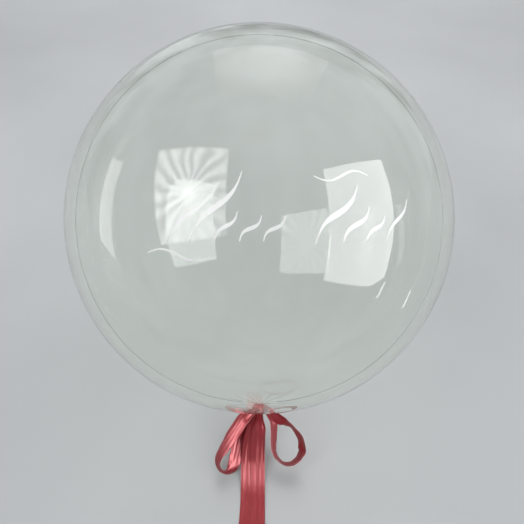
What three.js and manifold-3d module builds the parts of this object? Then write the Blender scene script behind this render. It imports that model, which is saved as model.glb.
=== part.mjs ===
// A clear film balloon lying on a floor, its neck tied off with a satin ribbon bow.
// The row's frame is millimetres, +Z up, with the origin at the centre of the spot that it rests on.
// The balloon's own frame has its centre as origin, +Y from the neck to the crown and +Z to the front.
import * as THREE from "three";
import { mergeVertices } from "three/addons/utils/BufferGeometryUtils.js";
import Module from "manifold-3d";

const wasm = await Module();
wasm.setup();

// The film sphere
const BALLOON_DIAMETER = 560;
const REST_SPOT_DIAMETER = 80;
const NECK_DIP_DEG = 45;
const SPHERE_SEGMENTS = 56;
const SPHERE_RINGS = 26;

// The gathered neck
const NECK_DIAMETER = 6;
const NECK_DROP = 3;
const GATHER_REACH = 36;
const GATHER_DEPTH = 0.9;
const NECK_PLEATS = 14;
const STUB_LENGTH = 18;
const STUB_WIDTH = 13;
const STUB_THICKNESS = 4;
const STUB_BEND = 4;

// The satin ribbon and its bow
const RIBBON_WIDTH = 22;
const RIBBON_THICKNESS = 0.6;
const GATHERED_WIDTH = 9;
const GATHERED_RUN = 30;
const KNOT_HEIGHT = 8;
const KNOT_WRAP = 2;
const KNOT_SPREAD = 12;
const KNOT_SWELL = 6;
const KNOT_FOLDS = 9;
const KNOT_FOLD_DEPTH = 0.7;
const LEFT_LOOP_LENGTH = 112;
const RIGHT_LOOP_LENGTH = 105;
const LOOP_STEPS = 36;

// The two ribbon ends and the wound part of the long one
const COIL_INNER_RADIUS = 44;
const COIL_PITCH = 8;
const COIL_TURNS = 2.5;
const COIL_CENTRE_Y = -440;
const TAIL_SLANT = 12;
const TIE_WIDTH = 9;
const TIE_THICKNESS = 0.6;

// The white strokes stuck on the front
const STROKE_ROW_WIDTH = 294;
const STROKE_ROW_DROP = 18;
const BROAD_STROKE = 6;
const MIDDLE_STROKE = 5;
const NARROW_STROKE = 4;
const WAVE_STROKE = 2.4;
const HAIRLINE = 1.1;
const STROKE_THICKNESS = 0.3;

// Fits between neighbours
const CONTACT_GAP = 0.3;
const FLOOR_GAP = 0.2;
const LOOP_FLOOR_GAP = 2;

// Where strips cross, edges shorter than this are merged away
const SLIVER_SIZE = 0.05;

const radius = BALLOON_DIAMETER / 2;
const spotRadius = REST_SPOT_DIAMETER / 2;
const centreHeight = Math.sqrt(radius ** 2 - spotRadius ** 2);
const neckRadius = NECK_DIAMETER / 2;
const neckDip = THREE.MathUtils.degToRad(NECK_DIP_DEG);
const knotTopWidth = NECK_DIAMETER + 2 * (CONTACT_GAP + KNOT_WRAP);
const knotTop = radius + NECK_DROP + CONTACT_GAP;
const knotFoot = knotTop + KNOT_HEIGHT;

const filmMaterial = new THREE.MeshStandardMaterial({
  color: 0xdfe6e2, roughness: 0.05, metalness: 0, transparent: true, opacity: 0.3,
});
const ribbonMaterial = new THREE.MeshStandardMaterial({ color: 0xb5525c, roughness: 0.4, metalness: 0 });
const strokeMaterial = new THREE.MeshStandardMaterial({ color: 0xf7f8f6, roughness: 0.5, metalness: 0 });

const part = new THREE.Group();
const balloon = new THREE.Group();
balloon.position.set(0, 0, centreHeight);
balloon.rotation.x = neckDip;
part.add(balloon);

function addMesh(group, name, geometry, material) {
  const mesh = new THREE.Mesh(geometry, material);
  mesh.name = name;
  group.add(mesh);
  return mesh;
}

// A closed body from rings of points, each ring running the same way round, with flat ends.
function loftGeometry(rings) {
  const count = rings[0].length;
  const positions = rings.flat().flatMap((point) => [point.x, point.y, point.z]);
  const faces = [];
  for (let ring = 0; ring + 1 < rings.length; ring += 1) {
    for (let side = 0; side < count; side += 1) {
      const next = (side + 1) % count;
      const a = ring * count + side;
      const b = ring * count + next;
      faces.push(a, a + count, b + count, a, b + count, b);
    }
  }
  for (const [ring, flip] of [[0, false], [rings.length - 1, true]]) {
    const middle = positions.length / 3;
    const centre = rings[ring].reduce((sum, point) => sum.add(point), new THREE.Vector3());
    centre.divideScalar(count);
    positions.push(centre.x, centre.y, centre.z);
    for (let side = 0; side < count; side += 1) {
      const a = ring * count + side;
      const b = ring * count + ((side + 1) % count);
      faces.push(middle, flip ? b : a, flip ? a : b);
    }
  }
  const geometry = new THREE.BufferGeometry();
  geometry.setAttribute("position", new THREE.Float32BufferAttribute(positions, 3));
  geometry.setIndex(faces);
  return pointOutward(geometry);
}

// Turns every face of a closed body round if its signed volume comes out negative.
function pointOutward(geometry) {
  const points = geometry.getAttribute("position");
  const index = geometry.getIndex();
  const corner = [new THREE.Vector3(), new THREE.Vector3(), new THREE.Vector3()];
  let volume = 0;
  for (let face = 0; face < index.count; face += 3) {
    corner.forEach((vector, k) => vector.fromBufferAttribute(points, index.getX(face + k)));
    volume += corner[0].dot(corner[1].clone().cross(corner[2])) / 6;
  }
  if (volume < 0) {
    for (let face = 0; face < index.count; face += 3) {
      const swapped = index.getX(face + 1);
      index.setX(face + 1, index.getX(face + 2));
      index.setX(face + 2, swapped);
    }
  }
  return geometry;
}

function toSolid(geometry) {
  const bare = geometry.clone();
  for (const name of Object.keys(bare.attributes)) {
    if (name !== "position") {
      bare.deleteAttribute(name);
    }
  }
  const merged = mergeVertices(bare);
  const mesh = new wasm.Mesh({
    numProp: 3,
    vertProperties: new Float32Array(merged.getAttribute("position").array),
    triVerts: new Uint32Array(merged.getIndex().array),
  });
  return new wasm.Manifold(mesh);
}

function toGeometry(solid) {
  const mesh = solid.getMesh();
  const geometry = new THREE.BufferGeometry();
  geometry.setAttribute("position", new THREE.Float32BufferAttribute(mesh.vertProperties, 3));
  geometry.setIndex([...mesh.triVerts]);
  return geometry;
}

// Reads a list of values spread evenly over 0 to 1, easing from each to the next.
function eased(values, share) {
  const place = Math.min(Math.max(share, 0), 1) * (values.length - 1);
  const first = Math.min(Math.floor(place), values.length - 2);
  return THREE.MathUtils.lerp(values[first], values[first + 1], THREE.MathUtils.smoothstep(place - first, 0, 1));
}

// Sections of a flat strip: at each station a centre, the direction across the strip and its width.
function stripRings(stations, thickness, endSlant = 0) {
  return stations.map(({ centre, across, width }, k) => {
    const before = stations[Math.max(k - 1, 0)].centre;
    const after = stations[Math.min(k + 1, stations.length - 1)].centre;
    const along = after.clone().sub(before).normalize();
    const side = across.clone().addScaledVector(along, -across.dot(along)).normalize();
    const face = along.clone().cross(side);
    const slant = k === stations.length - 1 ? endSlant : 0;
    return [[1, 1], [-1, 1], [-1, -1], [1, -1]].map(([left, up]) => centre.clone()
      .addScaledVector(side, (left * width) / 2)
      .addScaledVector(along, left * slant)
      .addScaledVector(face, (up * thickness) / 2));
  });
}

// The film is a sphere from the crown to the gathers, which draw it in to the neck; a flat stub hangs below.
function filmGeometry() {
  const rings = [];
  const gatherAngle = Math.asin(GATHER_REACH / radius);
  const ring = (halfWidth, halfDepth, below, shift, ripple) => {
    const points = [];
    for (let k = 0; k < SPHERE_SEGMENTS; k += 1) {
      const turn = (2 * Math.PI * k) / SPHERE_SEGMENTS;
      const wave = 1 + ripple * Math.cos(NECK_PLEATS * turn);
      const x = halfWidth * wave * Math.sin(turn);
      points.push(new THREE.Vector3(x, -below, halfDepth * wave * Math.cos(turn) - shift));
    }
    rings.push(points);
  };
  for (let k = 1; k <= SPHERE_RINGS; k += 1) {
    const polar = ((Math.PI - gatherAngle) * k) / SPHERE_RINGS;
    ring(radius * Math.sin(polar), radius * Math.sin(polar), -radius * Math.cos(polar), 0, 0);
  }
  const gatherSteps = 5;
  for (let k = 1; k <= gatherSteps; k += 1) {
    const share = k / gatherSteps;
    const reach = THREE.MathUtils.lerp(GATHER_REACH, neckRadius, share);
    const below = Math.sqrt(radius ** 2 - reach ** 2) + NECK_DROP * share ** 3;
    ring(reach, reach, below, 0, k === gatherSteps ? 0 : (GATHER_DEPTH / reach) * share);
  }
  ring(neckRadius, neckRadius, knotFoot + CONTACT_GAP, 0, 0);
  const stubSteps = 4;
  for (let k = 1; k <= stubSteps; k += 1) {
    const share = k / stubSteps;
    const halfWidth = THREE.MathUtils.lerp(neckRadius, STUB_WIDTH / 2, Math.sqrt(share));
    const halfDepth = THREE.MathUtils.lerp(neckRadius, STUB_THICKNESS / 2, Math.sqrt(share));
    ring(halfWidth, halfDepth, knotFoot + CONTACT_GAP + STUB_LENGTH * share, STUB_BEND * share, 0);
  }
  return loftGeometry(rings);
}

function restSpotCutter() {
  const block = new THREE.BoxGeometry(BALLOON_DIAMETER, BALLOON_DIAMETER, radius);
  block.translate(0, 0, -centreHeight - radius / 2);
  block.rotateX(-neckDip);
  return toSolid(block);
}

addMesh(balloon, "balloon_film", toGeometry(toSolid(filmGeometry()).subtract(restSpotCutter())), filmMaterial);

// The bow's frame: origin where the neck's axis leaves the sphere, x to the right, y down the neck.
const inBow = (x, down, front) => new THREE.Vector3(x, -radius - down, front);

// The ribbon's width at a distance from the knot, which draws it together.
function drawnWidth(distance) {
  const open = THREE.MathUtils.smoothstep(distance, 0, GATHERED_RUN);
  return THREE.MathUtils.lerp(GATHERED_WIDTH, RIBBON_WIDTH, open);
}

// A loop's route is given as shares of its length: right, down the neck and forward from the bow's origin.
// The fourth number turns the ribbon there: 90 degrees shows its face to the front and 0 its edge, and the
// sign says which edge is nearer. Outward is away from the loop's middle, as seen from the front.
function loopStations({ length, route }) {
  const points = route.map(([right, down, forward]) => inBow(right * length, down * length, forward * length));
  const turns = route.map((point) => point[3]);
  const curve = new THREE.CatmullRomCurve3(points);
  const total = curve.getLength();
  const stations = [];
  for (let k = 0; k <= LOOP_STEPS; k += 1) {
    const share = k / LOOP_STEPS;
    const run = curve.getTangentAt(share);
    const outward = new THREE.Vector3(run.y, -run.x, 0).normalize();
    const turn = THREE.MathUtils.degToRad(eased(turns, curve.getUtoTmapping(share)));
    const across = outward.multiplyScalar(Math.sin(turn)).addScaledVector(new THREE.Vector3(0, 0, 1), Math.cos(turn));
    const width = drawnWidth(Math.min(share, 1 - share) * total);
    stations.push(liftOffFloor({ centre: curve.getPointAt(share), across, width }));
  }
  return stations;
}

// Moves a station forward until the ribbon's lower edge there clears the floor.
function liftOffFloor({ centre, across, width }) {
  const rise = (vector) => vector.y * Math.sin(neckDip) + vector.z * Math.cos(neckDip);
  const lowest = centreHeight + rise(centre) - Math.abs(rise(across)) * (width / 2) - RIBBON_THICKNESS;
  const shortfall = Math.max(LOOP_FLOOR_GAP - lowest, 0);
  const lifted = centre.clone();
  lifted.z += shortfall / Math.cos(neckDip);
  return { centre: lifted, across, width };
}

// A loop's two halves meet in one shared section, and may cross where they leave the knot.
function loopSolid(shape) {
  const rings = stripRings(loopStations(shape), RIBBON_THICKNESS);
  const middle = LOOP_STEPS / 2;
  const halves = [rings.slice(0, middle + 1), rings.slice(middle)];
  const [out, back] = halves.map((half) => toSolid(loftGeometry(half)));
  return out.add(back);
}

function knotSolid() {
  const rings = [];
  const steps = 4;
  for (let k = 0; k <= steps; k += 1) {
    const share = k / steps;
    const halfWidth = (knotTopWidth + KNOT_SPREAD * Math.sqrt(share)) / 2;
    const halfDepth = (knotTopWidth + KNOT_SWELL * Math.sqrt(share)) / 2;
    const points = [];
    for (let j = 0; j < 4 * KNOT_FOLDS; j += 1) {
      const turn = (2 * Math.PI * j) / (4 * KNOT_FOLDS);
      const fold = KNOT_FOLD_DEPTH * Math.cos(KNOT_FOLDS * turn);
      const x = (halfWidth + fold) * Math.sin(turn);
      points.push(inBow(x, knotTop - radius + KNOT_HEIGHT * share, (halfDepth + fold) * Math.cos(turn)));
    }
    rings.push(points);
  }
  return toSolid(loftGeometry(rings));
}

function neckHole() {
  const holeRadius = neckRadius + CONTACT_GAP;
  const hole = new THREE.CylinderGeometry(holeRadius, holeRadius, KNOT_HEIGHT + 2 * NECK_DROP, 24);
  hole.translate(0, -(knotTop + knotFoot) / 2, 0);
  return toSolid(hole);
}

const leftLoop = {
  length: LEFT_LOOP_LENGTH,
  route: [
    [-0.036, 0.07, 0.031, -45], [-0.139, 0.133, 0.062, -50], [-0.231, 0.203, 0.089, -48],
    [-0.305, 0.313, 0.116, -54], [-0.387, 0.426, 0.134, -48], [-0.465, 0.554, 0.143, -37],
    [-0.544, 0.674, 0.143, -24], [-0.58, 0.78, 0.134, -24], [-0.565, 0.862, 0.134, -29],
    [-0.51, 0.924, 0.125, -37], [-0.44, 0.93, 0.107, -50], [-0.368, 0.868, 0.071, -65],
    [-0.32, 0.73, 0.009, -62], [-0.286, 0.579, -0.036, -60], [-0.223, 0.411, -0.08, -58],
    [-0.122, 0.237, -0.08, -50], [-0.036, 0.071, -0.036, -50],
  ],
};
const rightLoop = {
  length: RIGHT_LOOP_LENGTH,
  route: [
    [0.038, 0.076, -0.045, 45], [0.148, 0.177, -0.08, 38], [0.202, 0.254, -0.07, 34],
    [0.216, 0.373, -0.03, 32], [0.212, 0.535, 0.02, 28], [0.211, 0.657, 0.06, 21],
    [0.227, 0.74, 0.085, 10], [0.283, 0.822, 0.1, -3], [0.357, 0.878, 0.112, -9],
    [0.441, 0.884, 0.12, -8], [0.535, 0.834, 0.124, 1], [0.6, 0.748, 0.124, 12],
    [0.626, 0.658, 0.124, 30], [0.618, 0.55, 0.124, 26], [0.577, 0.443, 0.124, 30],
    [0.496, 0.339, 0.12, 25], [0.408, 0.275, 0.125, 38], [0.324, 0.228, 0.13, 58],
    [0.23, 0.168, 0.125, 60], [0.125, 0.107, 0.1, 52], [0.038, 0.067, 0.045, 45],
  ],
};
const tied = knotSolid().add(loopSolid(leftLoop)).add(loopSolid(rightLoop)).subtract(neckHole());
const bow = tied.asOriginal().simplify(SLIVER_SIZE);
addMesh(balloon, "ribbon_bow", toGeometry(bow), ribbonMaterial);

// The ribbon's ends run from the knot down to the floor and along it. Points are x, y, z in the row's frame.
const shortEndRoute = [
  [-3, -212.9, 73.3], [-4, -216, 69.8], [-7.8, -225, 57], [-12.8, -237, 42.5], [-16.5, -251, 28],
  [-18, -267, 14.5], [-18, -286, 5], [-18, -307, 1], [-18.5, -330, 0.5], [-20, -355, 0.5], [-23, -385, 0.5],
  [-27, -418, 0.5],
];
const longEndRoute = [
  [0.5, -212.5, 75.9],
  [0.1, -216.5, 71.8], [-0.8, -226, 58.3], [-1.9, -238, 44], [-2.6, -252, 29.6], [-2.8, -268, 16.2],
  [-2.8, -287, 6.8], [-2.9, -308, 2.6], [-3, -330, 1.8], [-3, -350, 1.9], [-3, -370, 4], [-3, -390, 8],
  [-3, -410, 11], [-3, -427, 11.9],
];
const LONG_END_EDGE_ON = [0, 0, 0, 0, 0, 0, 0, 0, 0, 0, 0, 0, 0, 0, 0, 0, 0.35, 0.75, 1, 1];

// A ribbon end follows its route; edgeOn turns it from lying flat (0) to standing on its edge (1).
function routeStations(points, edgeOn, steps) {
  const route = new THREE.CatmullRomCurve3(points.map((point) => new THREE.Vector3(...point)));
  const total = route.getLength();
  const stations = [];
  for (let k = 0; k <= steps; k += 1) {
    const turn = (Math.PI / 2) * eased(edgeOn, k / steps);
    const across = new THREE.Vector3(-Math.cos(turn), 0, Math.sin(turn));
    const width = drawnWidth((total * k) / steps);
    stations.push({ centre: route.getPointAt(k / steps), across, width });
  }
  return stations;
}

addMesh(
  part,
  "ribbon_short_end",
  loftGeometry(stripRings(routeStations(shortEndRoute, [0, 0], 30), RIBBON_THICKNESS, TAIL_SLANT / 2)),
  ribbonMaterial,
);
addMesh(
  part,
  "ribbon_long_end",
  loftGeometry(stripRings(routeStations(longEndRoute, LONG_END_EDGE_ON, 40), RIBBON_THICKNESS)),
  ribbonMaterial,
);

// The rest of the long end is wound flat on the floor, standing on its edge inside one band.
const coilOuterRadius = COIL_INNER_RADIUS + COIL_PITCH * COIL_TURNS;
const coilFloor = FLOOR_GAP + TIE_THICKNESS + CONTACT_GAP;
const coilCentreX = longEndRoute[longEndRoute.length - 1][0] + coilOuterRadius;
const coilWall = RIBBON_THICKNESS / 2;
const coilProfile = [
  [COIL_INNER_RADIUS - coilWall, coilFloor],
  [coilOuterRadius + coilWall, coilFloor],
  [coilOuterRadius + coilWall, coilFloor + RIBBON_WIDTH],
  [COIL_INNER_RADIUS - coilWall, coilFloor + RIBBON_WIDTH],
  [COIL_INNER_RADIUS - coilWall, coilFloor],
].map(([x, y]) => new THREE.Vector2(x, y));
const coilGeometry = new THREE.LatheGeometry(coilProfile, 48);
coilGeometry.rotateX(Math.PI / 2);
const coil = addMesh(part, "ribbon_coil", coilGeometry, ribbonMaterial);
coil.position.set(coilCentreX, COIL_CENTRE_Y, 0);

// The tie is a narrow band closed round the wound turns.
const tieOuter = new THREE.Shape();
const tieInner = new THREE.Path();
const tieInset = coilWall + CONTACT_GAP;
const tieBox = [COIL_INNER_RADIUS - tieInset, coilOuterRadius + tieInset];
const tieHeights = [FLOOR_GAP + TIE_THICKNESS, coilFloor + RIBBON_WIDTH + CONTACT_GAP];
function rectangle(path, grow) {
  path.moveTo(tieBox[0] - grow, tieHeights[0] - grow);
  path.lineTo(tieBox[1] + grow, tieHeights[0] - grow);
  path.lineTo(tieBox[1] + grow, tieHeights[1] + grow);
  path.lineTo(tieBox[0] - grow, tieHeights[1] + grow);
  path.closePath();
}
rectangle(tieOuter, TIE_THICKNESS);
rectangle(tieInner, 0);
tieOuter.holes.push(tieInner);
const tieGeometry = new THREE.ExtrudeGeometry(tieOuter, { depth: TIE_WIDTH, bevelEnabled: false });
tieGeometry.translate(0, 0, -TIE_WIDTH / 2);
tieGeometry.rotateX(Math.PI / 2);
const tie = addMesh(part, "ribbon_tie", tieGeometry, ribbonMaterial);
tie.position.set(coilCentreX, COIL_CENTRE_Y, 0);
tie.rotation.z = THREE.MathUtils.degToRad(-60);

// A white stroke lies on the sphere: right and up from the front are distances over its surface.
function strokeGeometry({ from, to, bend, width }) {
  const steps = 14;
  const onSphere = ([x, y], reach) => {
    const up = y / radius;
    const right = x / radius;
    return new THREE.Vector3(
      reach * Math.cos(up) * Math.sin(right),
      reach * Math.sin(up),
      reach * Math.cos(up) * Math.cos(right),
    );
  };
  const span = [to[0] - from[0], to[1] - from[1]];
  const length = Math.hypot(...span);
  const normal = [-span[1] / length, span[0] / length];
  const middle = (share) => {
    const off = bend * Math.sin(2 * Math.PI * share);
    return [from[0] + span[0] * share + normal[0] * off, from[1] + span[1] * share + normal[1] * off];
  };
  const inner = radius + CONTACT_GAP;
  const rings = [];
  for (let k = 0; k <= steps; k += 1) {
    const share = k / steps;
    const here = middle(share);
    const before = middle(share - 0.01);
    const after = middle(share + 0.01);
    const run = Math.hypot(after[0] - before[0], after[1] - before[1]);
    const half = (HAIRLINE + (width - HAIRLINE) * Math.sin(Math.PI * share) ** 2) / 2;
    const across = [(-(after[1] - before[1]) / run) * half, ((after[0] - before[0]) / run) * half];
    const left = [here[0] + across[0], here[1] + across[1]];
    const right = [here[0] - across[0], here[1] - across[1]];
    rings.push([
      onSphere(left, inner + STROKE_THICKNESS),
      onSphere(right, inner + STROKE_THICKNESS),
      onSphere(right, inner),
      onSphere(left, inner),
    ]);
  }
  return loftGeometry(rings);
}

// Places and bends are shares of the row's width; the row's middle line lies a little under the front's.
const strokes = [
  { from: [-0.415, -0.044], to: [-0.177, -0.054], bend: 0.017, width: WAVE_STROKE },
  { from: [-0.333, -0.007], to: [-0.136, 0.211], bend: 0.0136, width: MIDDLE_STROKE },
  { from: [-0.245, -0.007], to: [-0.061, 0.238], bend: 0.017, width: BROAD_STROKE },
  { from: [-0.156, 0], to: [-0.075, 0.102], bend: 0.0102, width: NARROW_STROKE },
  { from: [-0.068, 0], to: [0.007, 0.088], bend: 0.0102, width: NARROW_STROKE },
  { from: [0.014, 0], to: [0.088, 0.088], bend: 0.0102, width: NARROW_STROKE },
  { from: [0.19, 0.224], to: [0.401, 0.231], bend: -0.017, width: WAVE_STROKE },
  { from: [0.197, -0.007], to: [0.354, 0.197], bend: 0.017, width: BROAD_STROKE },
  { from: [0.299, -0.007], to: [0.401, 0.122], bend: 0.0136, width: MIDDLE_STROKE },
  { from: [0.395, 0], to: [0.469, 0.088], bend: 0.0102, width: NARROW_STROKE },
  { from: [0.483, 0], to: [0.585, 0.15], bend: 0.0102, width: NARROW_STROKE },
];
strokes.forEach(({ from, to, bend, width }, k) => {
  const place = ([right, up]) => [right * STROKE_ROW_WIDTH, up * STROKE_ROW_WIDTH - STROKE_ROW_DROP];
  const sized = { from: place(from), to: place(to), bend: bend * STROKE_ROW_WIDTH, width };
  addMesh(balloon, `white_stroke_${k + 1}`, strokeGeometry(sized), strokeMaterial);
});

export default part;
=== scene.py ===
# %% [markdown]
# # A clear film balloon with a satin bow
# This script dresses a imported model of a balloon. The model gives each solid at its real size, in metres,
# with +Z up and the origin at the flat spot that the balloon rests on. Each lesson below first says what a
# piece or a finish is on the real object, then makes it.

# %% Load the frame
import math

import bpy
import numpy as np
from mathutils import Matrix


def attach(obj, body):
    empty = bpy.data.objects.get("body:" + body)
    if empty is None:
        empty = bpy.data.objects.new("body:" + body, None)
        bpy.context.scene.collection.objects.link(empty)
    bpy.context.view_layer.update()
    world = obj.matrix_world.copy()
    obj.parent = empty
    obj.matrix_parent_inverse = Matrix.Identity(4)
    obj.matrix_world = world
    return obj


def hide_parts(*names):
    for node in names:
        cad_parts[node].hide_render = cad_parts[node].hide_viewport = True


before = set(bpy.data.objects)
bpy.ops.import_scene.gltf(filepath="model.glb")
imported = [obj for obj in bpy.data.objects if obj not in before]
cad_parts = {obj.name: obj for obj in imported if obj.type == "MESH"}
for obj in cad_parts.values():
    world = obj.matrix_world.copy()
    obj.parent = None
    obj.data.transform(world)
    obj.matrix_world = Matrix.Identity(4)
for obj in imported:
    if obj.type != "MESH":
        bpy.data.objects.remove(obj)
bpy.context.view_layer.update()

# %% [markdown]
# ## The balloon's own frame
# The film is a sphere that lies on the floor with its neck dipped towards the viewer. Everything on it is
# easier to place in the balloon's own directions: right, up from the neck to the crown, and front. The
# centre's height follows from the radius and from the flat spot, by Pythagoras.

# %% Directions and places on the balloon
FILM_RADIUS = 0.280
REST_SPOT_RADIUS = 0.040
NECK_DIP = math.radians(45)

centre_height = math.sqrt(FILM_RADIUS**2 - REST_SPOT_RADIUS**2)
CENTRE = np.array([0.0, 0.0, centre_height])
RIGHT = np.array([1.0, 0.0, 0.0])
UP = np.array([0.0, math.cos(NECK_DIP), math.sin(NECK_DIP)])
FRONT = np.array([0.0, -math.sin(NECK_DIP), math.cos(NECK_DIP)])


def to_row(right, up, front):
    """Row-frame points: the centre plus each coordinate times its direction."""
    parts = np.broadcast_arrays(right, up, front)
    return CENTRE + sum(part[..., None] * axis for part, axis in zip(parts, (RIGHT, UP, FRONT)))


def in_bow(right, down, forward):
    """Points of the bow: down is measured below the sphere's lowest point, along the neck."""
    return to_row(right, -FILM_RADIUS - np.asarray(down), forward)


print("balloon centre at height", round(centre_height, 4), "neck at", in_bow(0, 0, 0).round(3))

# %% [markdown]
# ## The camera
# The camera faces the balloon's front square on, so it looks down at 45 degrees. Its distance is what makes
# the weld circle and the outline as different in size as they are in the picture, and its small pitch puts
# the bow inside the frame without any lens shift.

# %% Make the camera
PHOTO_SIDE = 524
FOCAL_PIXELS = 529.6
SENSOR_WIDTH = 36.0
CAMERA_DISTANCE = 0.810
CAMERA_PITCH = math.radians(4.18)
CAMERA_YAW = math.radians(0.27)

camera_place = CENTRE + CAMERA_DISTANCE * FRONT
level_forward = -FRONT * math.cos(CAMERA_PITCH) - UP * math.sin(CAMERA_PITCH)
camera_up = UP * math.cos(CAMERA_PITCH) - FRONT * math.sin(CAMERA_PITCH)
camera_forward = level_forward * math.cos(CAMERA_YAW) + RIGHT * math.sin(CAMERA_YAW)
camera_right = RIGHT * math.cos(CAMERA_YAW) - level_forward * math.sin(CAMERA_YAW)


def place_object(thing, position, right, up, backward):
    """Turns and places an object so that its x, y and z axes are the three given directions."""
    matrix = np.eye(4)
    matrix[:3, 0], matrix[:3, 1], matrix[:3, 2], matrix[:3, 3] = right, up, backward, position
    thing.matrix_world = Matrix(matrix.tolist())


camera_data = bpy.data.cameras.new("camera")
camera_data.sensor_width = SENSOR_WIDTH
camera_data.lens = FOCAL_PIXELS / PHOTO_SIDE * SENSOR_WIDTH
camera = bpy.data.objects.new("camera", camera_data)
bpy.context.scene.collection.objects.link(camera)
place_object(camera, camera_place, camera_right, camera_up, -camera_forward)
bpy.context.scene.camera = camera
bpy.context.scene.view_settings.view_transform = "Standard"
print("lens", round(camera_data.lens, 2), "mm at", camera_place.round(3))

# %% [markdown]
# ## Helpers for surfaces
# Most pieces here are a grid of points: one direction runs along the piece, the other runs round it. One
# helper turns such a grid into a closed mesh with capped ends, and gives it a UV map in metres, so that a
# weave keeps its real scale wherever the ribbon goes.


# %% Grids of points to meshes
def grid_object(name, rings, closed_ends=True, uv=None, smooth=True):
    """A tube mesh from rings[n, m, 3]: quads between neighbours, round the ring, and a face on each end."""
    rings = np.asarray(rings, dtype=float)
    count, sides = rings.shape[:2]
    first = (np.arange(count - 1)[:, None] * sides + np.arange(sides)[None, :]).ravel()
    after = (np.arange(count - 1)[:, None] * sides + (np.arange(sides)[None, :] + 1) % sides).ravel()
    faces = np.stack([first, after, after + sides, first + sides], axis=1).tolist()
    points = rings.reshape(-1, 3)
    if closed_ends:
        faces.append(list(range(sides))[::-1])
        faces.append([(count - 1) * sides + k for k in range(sides)])
    mesh = bpy.data.meshes.new(name)
    mesh.from_pydata(points.tolist(), [], faces)
    if uv is not None:
        layer = mesh.uv_layers.new(name="UVMap")
        corners = np.empty(len(mesh.loops), dtype=np.int32)
        mesh.loops.foreach_get("vertex_index", corners)
        layer.data.foreach_set("uv", np.asarray(uv, dtype=float).reshape(-1, 2)[corners].ravel())
    mesh.polygons.foreach_set("use_smooth", [smooth] * len(mesh.polygons))
    mesh.update()
    thing = bpy.data.objects.new(name, mesh)
    bpy.context.scene.collection.objects.link(thing)
    return thing


def join_meshes(name, things):
    """One mesh out of several, vertex lists after one another, with their UV maps and materials."""
    with bpy.context.temp_override(
        active_object=things[0], selected_objects=things, selected_editable_objects=things
    ):
        bpy.ops.object.join()
    things[0].name = name
    things[0].data.name = name
    return things[0]


def signed_volume(thing):
    """A sixth of the sum, over the triangles, of a . (b x c), with a, b and c the triangle's corners. It is
    below zero if the faces look inward."""
    mesh = thing.data
    mesh.calc_loop_triangles()
    points = np.empty(len(mesh.vertices) * 3)
    mesh.vertices.foreach_get("co", points)
    corners = np.empty(len(mesh.loop_triangles) * 3, dtype=np.int32)
    mesh.loop_triangles.foreach_get("vertices", corners)
    a, b, c = points.reshape(-1, 3)[corners.reshape(-1, 3)].transpose(1, 0, 2)
    return float(np.einsum("ij,ij->i", a, np.cross(b, c)).sum() / 6)


def face_outward(thing):
    """Flips every face if the closed mesh's signed volume is negative."""
    if signed_volume(thing) < 0:
        thing.data.flip_normals()
    return thing


def catmull_rom(points, samples=24):
    """A smooth curve through the points: each span is a cubic whose tangents weigh its neighbours by the
    square roots of their distances. Returns points close together, from first to last."""
    p = np.asarray(points, dtype=float)
    p = np.vstack([2 * p[0] - p[1], p, 2 * p[-1] - p[-2]])
    step = np.sqrt(np.linalg.norm(np.diff(p, axis=0), axis=1))[:, None]
    slope = np.diff(p, axis=0) / step
    wide = (p[2:] - p[:-2]) / (step[:-1] + step[1:])
    tangent = slope[:-1] - wide + slope[1:]
    start, end = p[1:-2, None], p[2:-1, None]
    leave, arrive = (tangent[:-1] * step[1:-1])[:, None], (tangent[1:] * step[1:-1])[:, None]
    t = (np.arange(samples) / samples)[None, :, None]
    curve = (
        (2 * t**3 - 3 * t**2 + 1) * start
        + (t**3 - 2 * t**2 + t) * leave
        + (3 * t**2 - 2 * t**3) * end
        + (t**3 - t**2) * arrive
    )
    return np.vstack([curve.reshape(-1, 3), p[-2]])


def arc_lengths(points):
    """How far along the line each point lies."""
    return np.concatenate([[0], np.cumsum(np.linalg.norm(np.diff(points, axis=0), axis=1))])


def evenly(points, count):
    """The line again, with count points an equal distance apart."""
    at = arc_lengths(points[:, :3])
    want = np.linspace(0, at[-1], count)
    return np.stack([np.interp(want, at, points[:, k]) for k in range(points.shape[1])], axis=1)


def eased(values, share):
    """Reads values spread evenly over 0 to 1, with a smooth step from each to the next."""
    values = np.asarray(values, dtype=float)
    place = np.clip(share, 0, 1) * (len(values) - 1)
    low = np.minimum(place.astype(int), len(values) - 2)
    t = place - low
    return values[low] + (values[low + 1] - values[low]) * (3 * t**2 - 2 * t**3)


print("surface helpers ready")

# %% [markdown]
# ## The satin ribbon
# One ribbon, 22 mm wide, is tied round the neck. A ribbon is a line with a direction across it. Its section
# here is a flat lens with rounded edges, slightly thicker along both selvedges, where the weave turns back.
# Where the ribbon is drawn into the knot it narrows and folds up like a fan: the folds' height grows as the
# width shrinks, so that the cloth keeps its real width along the folds.

# %% Ribbon surface
RIBBON_WIDTH = 0.022
RIBBON_THICKNESS = 0.0005
RIBBON_COLUMNS = 34
COLUMN_CROWDING = 0.2
GATHERED_WIDTH = 0.009
GATHERED_RUN = 0.030
RIBBON_FOLDS = 2.5
FOLD_FULLNESS = 1.2
RIPPLE_WAVES = 1.3
RIPPLE_START = 0.7
KNOT_REACH = 0.024
SELVEDGE_SWELL = 0.00012

# Shares of the width: a crease's breadth, how far in the edge is rounded, the selvedge's place and breadth.
CREASE_BREADTH = 0.075
EDGE_ROUNDING = 0.03
SELVEDGE_PLACE = 0.035
SELVEDGE_BREADTH = 0.02

# The share of the thickness that is left at the very edge.
EDGE_THICKNESS = 0.2


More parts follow.
